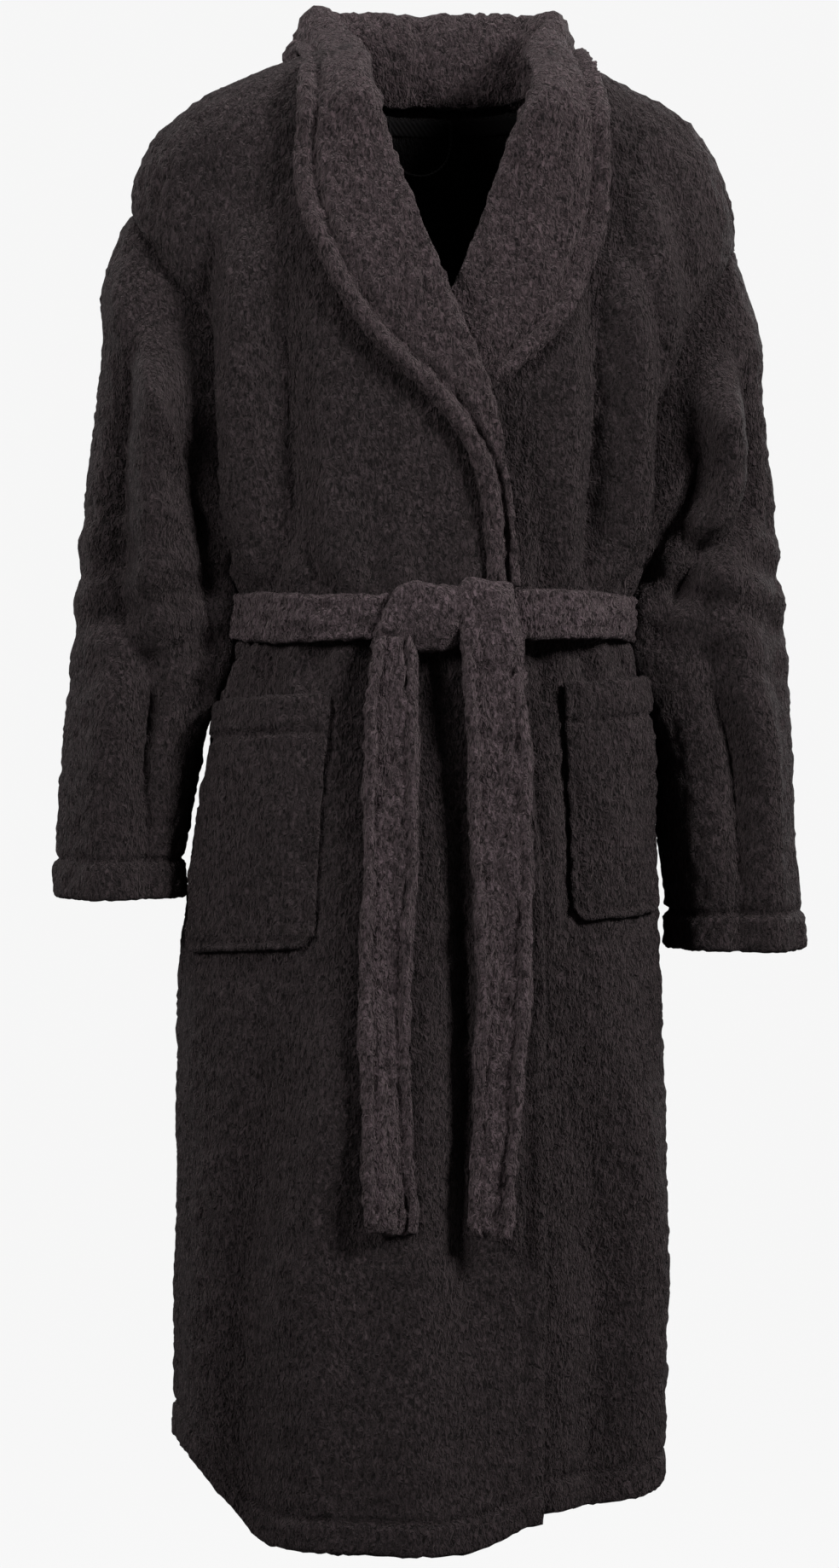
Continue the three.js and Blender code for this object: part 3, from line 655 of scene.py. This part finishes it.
sleeve_back_folds = [
    [[0.540, 0.10, 0.004, 0.3], [0.700, 0.20, 0.010, 0.28], [0.860, 0.30, 0.009, 0.26],
     [1.03, 0.1, 0, 0.26]],
    [[0.600, -0.35, 0, 0.2], [0.760, -0.30, -0.010, 0.2], [0.900, -0.15, -0.008, 0.2],
     [1.02, -0.3, 0, 0.2]],
]

for side_name, side, sleeve_length in (("right", -1, 0.556), ("left", 1, 0.602)):
    wrist = shoulder_height - sleeve_length
    seam_at_wrist = wrist + below_cuff_seam
    cuff_inner = body_section(wrist)[0] + fleece_layer + sleeve_off_body
    fall = sleeve_length - below_cuff_seam
    fuller = 0.010 if side > 0 else 0
    outer_line = smooth_rows([
        [0, 0.249, shoulder_height - 0.002], [0.15, 0.256 + fuller, shoulder_height - 0.15 * fall],
        [0.45, 0.277 + 0.7 * fuller, shoulder_height - 0.45 * fall],
        [1, cuff_inner + 0.092 + 0.4 * fuller, seam_at_wrist]])
    inner_line = smooth_rows([
        [0, 0.172, armpit_height], [0.1, 0.184, armpit_height - 0.014],
        [0.45, 0.186, armpit_height + 0.4 * (seam_at_wrist - armpit_height)],
        [1, cuff_inner, seam_at_wrist]])

    def armhole_ring(turn, side=side):
        """The oval that the sleeve is sewn onto, just outside the body's cloth."""
        level = armhole_middle + armhole_radius * np.cos(turn)
        opening = armhole_half_angle * np.sin(turn)
        return on_body(side * (np.pi / 2 - opening), level, fleece_layer / 2 + 0.0006)

    def sleeve_middle(u, v, side=side, seam_at_wrist=seam_at_wrist, wrist=wrist, fall=fall,
                      outer_line=outer_line, inner_line=inner_line):
        """Down the sleeve, an oval whose outer and inner ends follow two lines. The first tenth of the
        length turns from the armhole's oval into it, and the last stretch below the cuff's seam is
        straight."""
        turn = side * 2 * np.pi * u
        total = fall + below_cuff_seam
        share = np.clip(v * total / fall, 0, 1)
        below = np.clip(v * total - fall, 0, 1)
        far = (1 + np.cos(turn)) / 2
        outer, inner = outer_line(share), inner_line(share)
        across = inner[..., 0] + far * (outer[..., 0] - inner[..., 0])
        level = inner[..., 1] + far * (outer[..., 1] - inner[..., 1]) - below
        depth = depth_at_top + (depth_at_wrist - depth_at_top) * share + fleece_layer / 2
        squarer = np.sign(np.sin(turn)) * np.abs(np.sin(turn)) ** 0.85
        front = smooth_step(np.sin(turn), -0.1, 0.35)
        back = smooth_step(-np.sin(turn), -0.1, 0.35)
        off = sum(fold(np.cos(turn), level, rows) for rows in sleeve_folds[side]) * front
        off = off + sum(fold(np.cos(turn), level, rows) for rows in sleeve_back_folds) * back
        ragged = 0.005 * noise(np.stack([across * side, depth * squarer, 0.5 * level], -1), 0.04, 21 + side)
        elbow = np.exp(-(((level - 0.77) / 0.07) ** 2))
        crease = 0.0042 * np.sin(130 * level + 3.5 * np.cos(turn)) * elbow
        swell = (1.9 * off + ragged + crease) * smooth_step(share, 0.02, 0.12)
        swell = swell + 0.010 * np.exp(-(((share - 0.12) / 0.06) ** 2))
        beside_waist = smooth_step(level, 0.62, 0.72) * (1 - smooth_step(level, 0.80, 0.89))
        inwards = 0.032 * (1 - far) * beside_waist * smooth_step(np.abs(np.sin(turn)), 0.05, 0.7)
        hanging = np.stack([
            side * (across - inwards + (fleece_layer / 2 + 0.6 * swell) * np.cos(turn)),
            axis_y - (depth + swell) * squarer,
            hem_z + level], -1)
        sewn = armhole_ring(turn)
        set_in = smooth_step(share, -0.01, 0.095)[..., None] * smooth_step(share, 0, 0.02)[..., None]
        point = sewn + (hanging - sewn) * set_in
        point[..., 2] -= set_in[..., 0] * droop(point[..., 0], level)
        return point

    def cuff_relief(u, v, edge):
        """The turned cuff stands 1.6 mm proud up to its stitched line."""
        turned = 1 - smooth_step(edge[3], cuff_turn - 0.006, cuff_turn)
        return 0.0016 * turned + stitched(cuff_turn, 0.0032, 0.003)(edge[3])

    girth = np.linspace(0, 1, 128, endpoint=False)
    sleeve = cloth(f"{side_name}_sleeve_cloth", girth, steps(sleeve_length, 0.0034), sleeve_middle,
                   fleece_layer, cuff_relief, around=True)
    finish(sleeve, None, "fleece", fleece, f"{side_name}_sleeve", f"{side_name}_cuff",
           inner_shade=inside_painted_shade)
    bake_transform(sleeve)

# ---------------------------------------------------------------------------------------------------
# Patch pockets: a rectangle of fleece on each front, sewn on at its sides and its lower edge with rounded
# corners. The mouth is turned down and stitched, and hangs a little open.

pocket_mouth = {-1: waist - 0.070, 1: waist - 0.053}
pocket_height = {-1: 0.199, 1: 0.190}
mouth_turn = {-1: 0.030, 1: 0.032}
pocket_span = {-1: (0.43, 1.30), 1: (0.50, 1.24)}

for side_name, side in (("right", -1), ("left", 1)):

    def pocket_middle(u, v, side=side):
        """A patch over part of the front's turn, with rounded lower corners. It stands off by about half a
        sine across, most at its mouth, and slanting waves run over it."""
        near, far = pocket_span[side]
        share = u if side > 0 else 1 - u
        angle = side * (near + share * (far - near))
        tilt = 0.008 * (share - 0.5) * (-1 if side < 0 else 0.6)
        height = pocket_mouth[side] - pocket_height[side] * (1 - v) + tilt
        corner = 0.010 * smooth_step(0.10 - v, 0, 0.1) * smooth_step(np.abs(u - 0.5), 0.42, 0.5)
        height = height + corner
        slack = 0.015 * np.sin(np.pi * u) ** 0.8 * smooth_step(v, 0, 0.8)
        pull = 0.0032 * np.sin(9 * (v + 0.8 * share) + 2) * np.sin(np.pi * u) * np.sin(np.pi * v)
        pull = pull * (1 if side > 0 else 0.5)
        lift = lift_at(angle, height) if side < 0 else 0
        return on_body(angle, height, lift + fleece_layer + 0.0008 + slack + pull + 0.0032)

    def pocket_relief(u, v, edge, side=side):
        """The turned mouth stands 1.2 mm proud up to its stitched line, and a seam runs round the rest."""
        turned = 1 - smooth_step(edge[3], mouth_turn[side] - 0.006, mouth_turn[side])
        mouth = 0.0012 * turned + stitched(mouth_turn[side], 0.0032, 0.003)(edge[3])
        sewn = np.minimum(np.minimum(edge[0], edge[1]), edge[2])
        return mouth + stitched(0.0075, 0.0026, 0.0022)(sewn)

    pocket = cloth(f"{side_name}_patch_pocket", steps(0.13, 0.0030), steps(0.20, 0.0030),
                   pocket_middle, 0.0064, pocket_relief, pile=0.0014)
    finish(pocket, "robe", "fleece", fleece, f"{side_name}_pocket", f"{side_name}_pocket_hem")

# ---------------------------------------------------------------------------------------------------
# Sash: one long flat tube of fleece, turned and stitched along both edges. It goes once round the waist,
# and is tied at the front in a single knot whose two ends hang down.

sash_width = 0.0385
sash_thickness = 0.0115


def belt_distance(angle):
    """The sash's inner face, outside the one or two fronts that it lies on."""
    across = np.abs(body_at(angle, waist + 0 * angle)[..., 0])
    front = np.where(np.cos(angle) > 0, 1 - smooth_step(across, *overlap_side), 0)
    return fleece_layer + 0.0011 + front * (upper_front_lift + fleece_layer + 0.0008)


def belt_middle(u, v):
    """A band of straight sides round the body, which rises and sinks a little on its way round."""
    angle = 2 * np.pi * u
    place = body_at(angle, waist + 0 * angle)
    up = (v - 0.5) * sash_width * (1 + 0.06 * np.sin(5 * angle))
    height = waist - 0.0012 + up + 0.0015 * np.sin(3 * angle)
    crumple = 0.0013 * noise(place * [1, 1, 0] + v[..., None] * [0, 0, 0.05], 0.02, 31)
    off = belt_distance(angle) + sash_thickness / 2 + crumple + drape(angle, waist + 0 * angle)
    flat = on_body(angle, waist + 0 * angle, off, fall=False)
    flat[..., 2] = hem_z + height
    return flat


def sash_relief(u, v, edge):
    """A stitched line along each edge, and slow unevenness."""
    rim = np.minimum(edge[2], edge[3])
    soft = 0.0012 * noise(np.stack([u * 60, v * 3, 0 * u], -1), 1.0, 8)
    return stitched(0.0085, 0.0020, 0.0026)(rim) + soft


# A lighter copy of the fleece for the sash, its knot and its ends: painted light, for the brighter light
# that falls on them.
sash_painted_light = coral_fleece("Coral fleece, painted light, sash", "#52464a", "#151011", 0.24)
belt = cloth("sash", np.linspace(0, 1, 330, endpoint=False), steps(sash_width, 0.0028), belt_middle,
             sash_thickness, sash_relief, around=True, pile=0.0021)
finish(belt, "robe", "fleece", sash_painted_light, "belt_band")


def knot_middle(start, end, low, high, bulge, slant, pinch):
    """Part of the knot over the sash: a pad from start to end across and from low to high about the sash's
    middle, with round corners. It stands off most in its middle, is drawn in by pinch halfway up and
    leans by slant."""

    def middle(u, v):
        """Fourth powers of the places from -1 to 1 round the pad's outline and its dome."""
        from_side, from_end = 2 * u - 1, 2 * v - 1
        narrow = (1 - pinch * np.exp(-(((v - 0.6) / 0.28) ** 2))) * (1 - 0.16 * v**6)
        across = (start + end) / 2 + slant * from_end + 0.5 * from_side * (end - start) * narrow
        height = waist + (low + high) / 2 + 0.5 * from_end * (high - low) * (1 - 0.14 * from_side**4)
        angle = angle_at(across, waist + 0 * across)
        dome = np.sqrt(np.clip(1 - 0.92 * from_end**4, 0, 1))
        dome = dome * np.sqrt(np.clip(1 - 0.8 * from_side**4, 0, 1))
        dome = dome * smooth_step(v, -0.1, 0.45)
        ridges = 0.0022 * np.sin(2.6 * np.pi * u + 0.9 + 2 * v) * dome
        off = belt_distance(angle) + 0.006 + bulge * dome + ridges
        point = on_body(angle, waist + 0 * angle, off, fall=False)
        point[..., 2] = hem_z + height + 0.0015 * np.sin(7 * u)
        return point

    return middle


def knot_relief(u, v, edge):
    """Slow unevenness, as the cloth is bunched."""
    return 0.0026 * noise(np.stack([u * 4, v * 3, 0 * u], -1), 1.0, 9)


wrap = cloth("sash_knot_wrap", steps(0.058, 0.0026), steps(0.052, 0.0026),
             knot_middle(-0.050, 0.012, -0.0290, 0.0215, 0.012, 0.007, 0.04), 0.0125, knot_relief,
             pile=0.0016)
finish(wrap, "robe", "fleece", sash_painted_light, "belt_knot_wrap")
over = cloth("sash_knot_loop", steps(0.050, 0.0026), steps(0.062, 0.0026),
             knot_middle(0.006, 0.050, -0.062, 0.0255, 0.018, -0.004, 0.10), 0.0130, knot_relief,
             pile=0.0016)
finish(over, "robe", "fleece", sash_painted_light, "belt_knot_loop")

tail_thickness = 0.0125
sash_lower_edge = waist - 0.0205
# Each end's rows hold a share of the way down, the place of the middle line across, and the width
tail_shape = {
    "right": {"top": sash_lower_edge + 0.004, "length": 0.468, "turn": 0.2, "rows": [
        [0, -0.040, 0.030], [0.05, -0.040, 0.038], [0.12, -0.041, 0.042], [0.35, -0.040, 0.043],
        [0.6, -0.043, 0.041], [0.8, -0.042, 0.041], [1, -0.039, 0.046]]},
    "left": {"top": sash_lower_edge - 0.002, "length": 0.466, "turn": -0.4, "rows": [
        [0, 0.029, 0.046], [0.12, 0.035, 0.050], [0.35, 0.041, 0.049], [0.6, 0.043, 0.042],
        [0.8, 0.038, 0.038], [1, 0.032, 0.038]]},
}
for side_name, shape in tail_shape.items():
    tail_line = smooth_rows(shape["rows"])

    def tail_middle(u, v, shape=shape, tail_line=tail_line):
        """A strap hanging from the knot. Its middle line and width follow rows down its length, its edges
        curl forwards, and it turns a little about itself towards its end."""
        down = 1 - v
        centre, width = np.moveaxis(tail_line(down), -1, 0)
        twist = shape["turn"] * smooth_step(down, 0.35, 1) + 0.10 * np.sin(9 * down + 1)
        side = (u - 0.5) * width
        height = shape["top"] - down * shape["length"]
        angle = angle_at(centre, height)
        ripple = 0.0016 * np.sin(14 * down + 5 * u) + 0.0016 * noise(
            np.stack([side, down * shape["length"], 0 * u], -1), 0.028, 41)
        wave = 0.0007 * np.sin(31 * down + 2)
        side = side * (1 - 0.25 * smooth_step(down, 0.975, 1.0) * np.abs(2 * u - 1)) + wave
        off = belt_distance(0 * angle) + 0.0075 + 0.005 * (2 * u - 1) ** 2 + ripple + 0.004 * (1 - down) ** 4
        point = on_body(angle, height, off + 0.3 * np.abs(np.sin(twist)) * width, fall=False)
        point[..., 0] += side * np.cos(twist)
        point[..., 1] += side * np.sin(twist)
        point[..., 2] = hem_z + height + 0.002 * np.sin(5 * u + 2) * smooth_step(down, 0.9, 1)
        return point

    def tail_relief(u, v, edge):
        """A stitched line along each side and across the end, a slanting ridge, and slow unevenness."""
        rim = np.minimum(edge[0], edge[1])
        soft = 0.0012 * noise(np.stack([u * 3, v * 22, 0 * u], -1), 1.0, 10)
        return (stitched(0.0095, 0.0050, 0.0032)(rim) + stitched(0.020, 0.002, 0.003)(edge[2])
                + 0.0030 * np.sin(2.2 * np.pi * u + 2.5 * v) + soft)

    tail = cloth(f"{side_name}_sash_end", steps(0.046, 0.0028), steps(shape["length"], 0.0032), tail_middle,
                 tail_thickness, tail_relief, pile=0.0021, inside=1.0)
    finish(tail, None, "fleece", sash_painted_light, f"{side_name}_belt_tail")
    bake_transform(tail)

# ---------------------------------------------------------------------------------------------------
# Belt loops, neck tape and hanging loop: narrow woven tape and thread, sewn to the side seams, over the
# seam inside the back of the neck, and from that tape down.

# Woven polyester tape: flat ribs across a tight weave, dark, with hardly any shine. The wave texture's
# slanting bands repeat each 2 pi / (10 x scale) along an axis, and the ribs are drawn coarse so that they
# show.
rib_spacing = 0.0044
woven, tree = empty_material("Woven polyester tape")
place = add_node(tree, "ShaderNodeTexCoord", {}).outputs["Object"]
ribs = add_node(tree, "ShaderNodeTexWave", {"Vector": place, "Scale": 2 * np.pi / (10 * rib_spacing),
                                            "Distortion": 0.4, "Detail": 1.0}, bands_direction="DIAGONAL")
tone = add_node(tree, "ShaderNodeMix", {"Factor": ribs.outputs["Fac"], "A": linear("#050405"),
                                        "B": linear("#0d0b0c")}, data_type="RGBA")
weave = add_node(tree, "ShaderNodeBump", {"Height": ribs.outputs["Fac"], "Strength": 0.5,
                                          "Distance": 0.0006})
shader = add_node(tree, "ShaderNodeBsdfPrincipled", {"Base Color": tone.outputs["Result"], "Roughness": 0.8,
                                                     "Normal": weave.outputs[0], "Specular IOR Level": 0.1})
add_node(tree, "ShaderNodeOutputMaterial", {"Surface": shader.outputs[0]})


def strap(name, path, across, thickness, body, slot, material, node):
    """A flat strap: points along a path, each with a direction across it, and the same thickness. One
    narrower than a sheet may be is left undeclared."""
    path, across = np.array(path), np.array(across)
    length = np.concatenate([[0], np.cumsum(np.linalg.norm(np.diff(path, axis=0), axis=1))])
    line = smooth_rows(np.column_stack([length / length[-1], path, across]))

    def middle(u, v):
        """The path's point, and u from side to side of it along the direction across."""
        row = line(v)
        return row[..., :3] + (u - 0.5)[..., None] * row[..., 3:]

    width = float(np.linalg.norm(across[0]))
    piece = cloth(name, steps(width, 0.0016, 0.3 * thickness), steps(length[-1], 0.0016, 0.3 * thickness),
                  middle, thickness, pile=0.0001, inside=1.0)
    finish(piece, body, slot, material, node)


for side_name, side in (("right", -1), ("left", 1)):
    low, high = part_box(f"{side_name}_belt_loop")
    near, far = (high.x, low.x) if side < 0 else (low.x, high.x)
    bow = [[near - side * 0.002, 0, high.z - 0.001], [near + side * 0.007, 0, high.z - 0.0015],
           [far - side * 0.0012, 0, high.z - 0.011], [far, 0, (low.z + high.z) / 2],
           [far - side * 0.0012, 0, low.z + 0.011], [near + side * 0.007, 0, low.z + 0.0015],
           [near - side * 0.002, 0, low.z + 0.001]]
    path = [[x, axis_y, z] for x, _, z in bow]
    strap(f"{side_name}_carrier", path, [[0, 0.010 * side, 0]] * len(path), 0.0024, "robe",
          "fleece", woven, f"{side_name}_belt_loop")


def tape_middle(u, v):
    """A straight step down the inside of the back from the neck seam, 2 to 16 mm from it."""
    angle = np.pi + (v - 0.5) * 2.0
    drop = neck_drop * np.clip(-np.cos(angle), 0, 1) ** 3
    seam = on_body(angle, robe_length - drop, -0.0016, fall=False)
    below = on_body(angle, robe_length - 0.02 - 0.9 * drop, -0.0016, fall=False) - seam
    down = below / np.linalg.norm(below, axis=-1, keepdims=True)
    return seam + down * (0.002 + 0.014 * (1 - u))[..., None]


tape = cloth("neck_seam_tape", steps(0.014, 0.0014, 0.0006), steps(0.17, 0.0018, 0.0006), tape_middle,
             0.0018, pile=0.0001, inside=1.0)
finish(tape, "robe", "tape", woven, "neck_tape")

low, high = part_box("hanging_loop")
half, inner_y = (high.x - low.x) / 2, (low.y + high.y) / 2
bend_z = low.z + half
arc = np.radians(np.linspace(180, 360, 9))
path = [[-half + 0.002, inner_y, high.z], [-half + 0.002, inner_y, (high.z + bend_z) / 2]]
path += [[(half - 0.002) * np.cos(a), inner_y, bend_z + (half - 0.002) * np.sin(a)] for a in arc]
path += [[half - 0.002, inner_y, (high.z + bend_z) / 2], [half - 0.002, inner_y, high.z]]
strap("hanger", path, [[0, 0.0056, 0]] * len(path), 0.0034, "hanging_loop", "tape", woven,
      "hanging_loop")

# ---------------------------------------------------------------------------------------------------
# Room: a pale floor under the hanging robe that curves up into a pale wall all round, soft light from
# large lamps in front, behind and above, and a camera in front, a little to the wearer's right. The room
# glows evenly for the camera, but is hidden from the rays that light the robe and show in its gloss.

low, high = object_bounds()
floor_z = low.z - 0.75
turn_count, level_count = 48, 40
bell_line = smooth_rows([
    [0, 0.0001, 0], [0.3, 9, 0], [0.42, 11.5, 0.5], [0.5, 12, 3], [0.75, 9, 9], [1, 0.0001, 12],
])
round_room, up_room = np.meshgrid(np.linspace(0, 2 * np.pi, turn_count + 1)[:-1],
                                  np.linspace(0, 1, level_count), indexing="ij")
profile = bell_line(up_room)
points = np.stack([profile[..., 0] * np.cos(round_room), profile[..., 0] * np.sin(round_room),
                   floor_z + profile[..., 1]], -1).reshape(-1, 3)
ids = np.arange(turn_count * level_count).reshape(turn_count, level_count)
after = np.roll(ids, -1, 0)
room = mesh_piece("pale_room", points, np.stack([ids[:, :-1], ids[:, 1:], after[:, 1:], after[:, :-1]],
                                                -1).reshape(-1, 4))
room.visible_diffuse = False
room.visible_glossy = False
# Matt white paint: no gloss, and an even pale tone that comes from its own glow
paint, tree = empty_material("Matt white paint")
shader = add_node(tree, "ShaderNodeBsdfPrincipled", {
    "Base Color": linear("#2a2a2a"), "Roughness": 0.9, "Specular IOR Level": 0.0,
    "Emission Color": linear("#f6f6f6"), "Emission Strength": 1.0})
add_node(tree, "ShaderNodeOutputMaterial", {"Surface": shader.outputs[0]})
room.data.materials.append(paint)

world = bpy.data.worlds.new("Room light")
bpy.context.scene.world = world
world.use_nodes = True
world.node_tree.nodes["Background"].inputs["Color"].default_value = linear("#ffffff")
world.node_tree.nodes["Background"].inputs["Strength"].default_value = 0.08
bpy.context.scene.view_settings.view_transform = "Standard"


def lamp(name, place, target, size, power):
    """A square lamp of a size in metres and a power in watts at a place, turned to face a target."""
    light = bpy.data.lights.new(name, "AREA")
    light.shape, light.size, light.energy = "SQUARE", size, power
    made = bpy.data.objects.new(name, light)
    bpy.context.scene.collection.objects.link(made)
    made.location = place
    aim = Vector(target) - Vector(place)
    made.rotation_euler = aim.to_track_quat("-Z", "Y").to_euler()


lamp("key", (1.6, -2.0, 0.8), (0, 0, -0.45), 0.7, 82)
lamp("fill", (-1.8, -1.7, 0.5), (0, 0, -0.6), 0.8, 40)
lamp("top", (0.0, 0.1, 1.6), (0, 0, -0.3), 0.9, 20)
lamp("back left", (1.9, 2.2, 0.9), (0, 0, -0.5), 1.0, 70)
lamp("back right", (-2.1, 2.0, 0.9), (0, 0, -0.5), 1.0, 40)

camera = bpy.data.objects.new("camera", bpy.data.cameras.new("camera"))
bpy.context.scene.collection.objects.link(camera)
bpy.context.scene.camera = camera
camera.data.lens = 84
camera.data.sensor_width = 36
distance, azimuth, elevation = 3.03, np.radians(-6), np.radians(1.5)
aim = Vector((-0.007, axis_y, hem_z + 0.6085))
camera.location = aim + distance * Vector((np.sin(azimuth) * np.cos(elevation),
                                              -np.cos(azimuth) * np.cos(elevation), np.sin(elevation)))
camera.rotation_euler = (aim - camera.location).to_track_quat("-Z", "Y").to_euler()
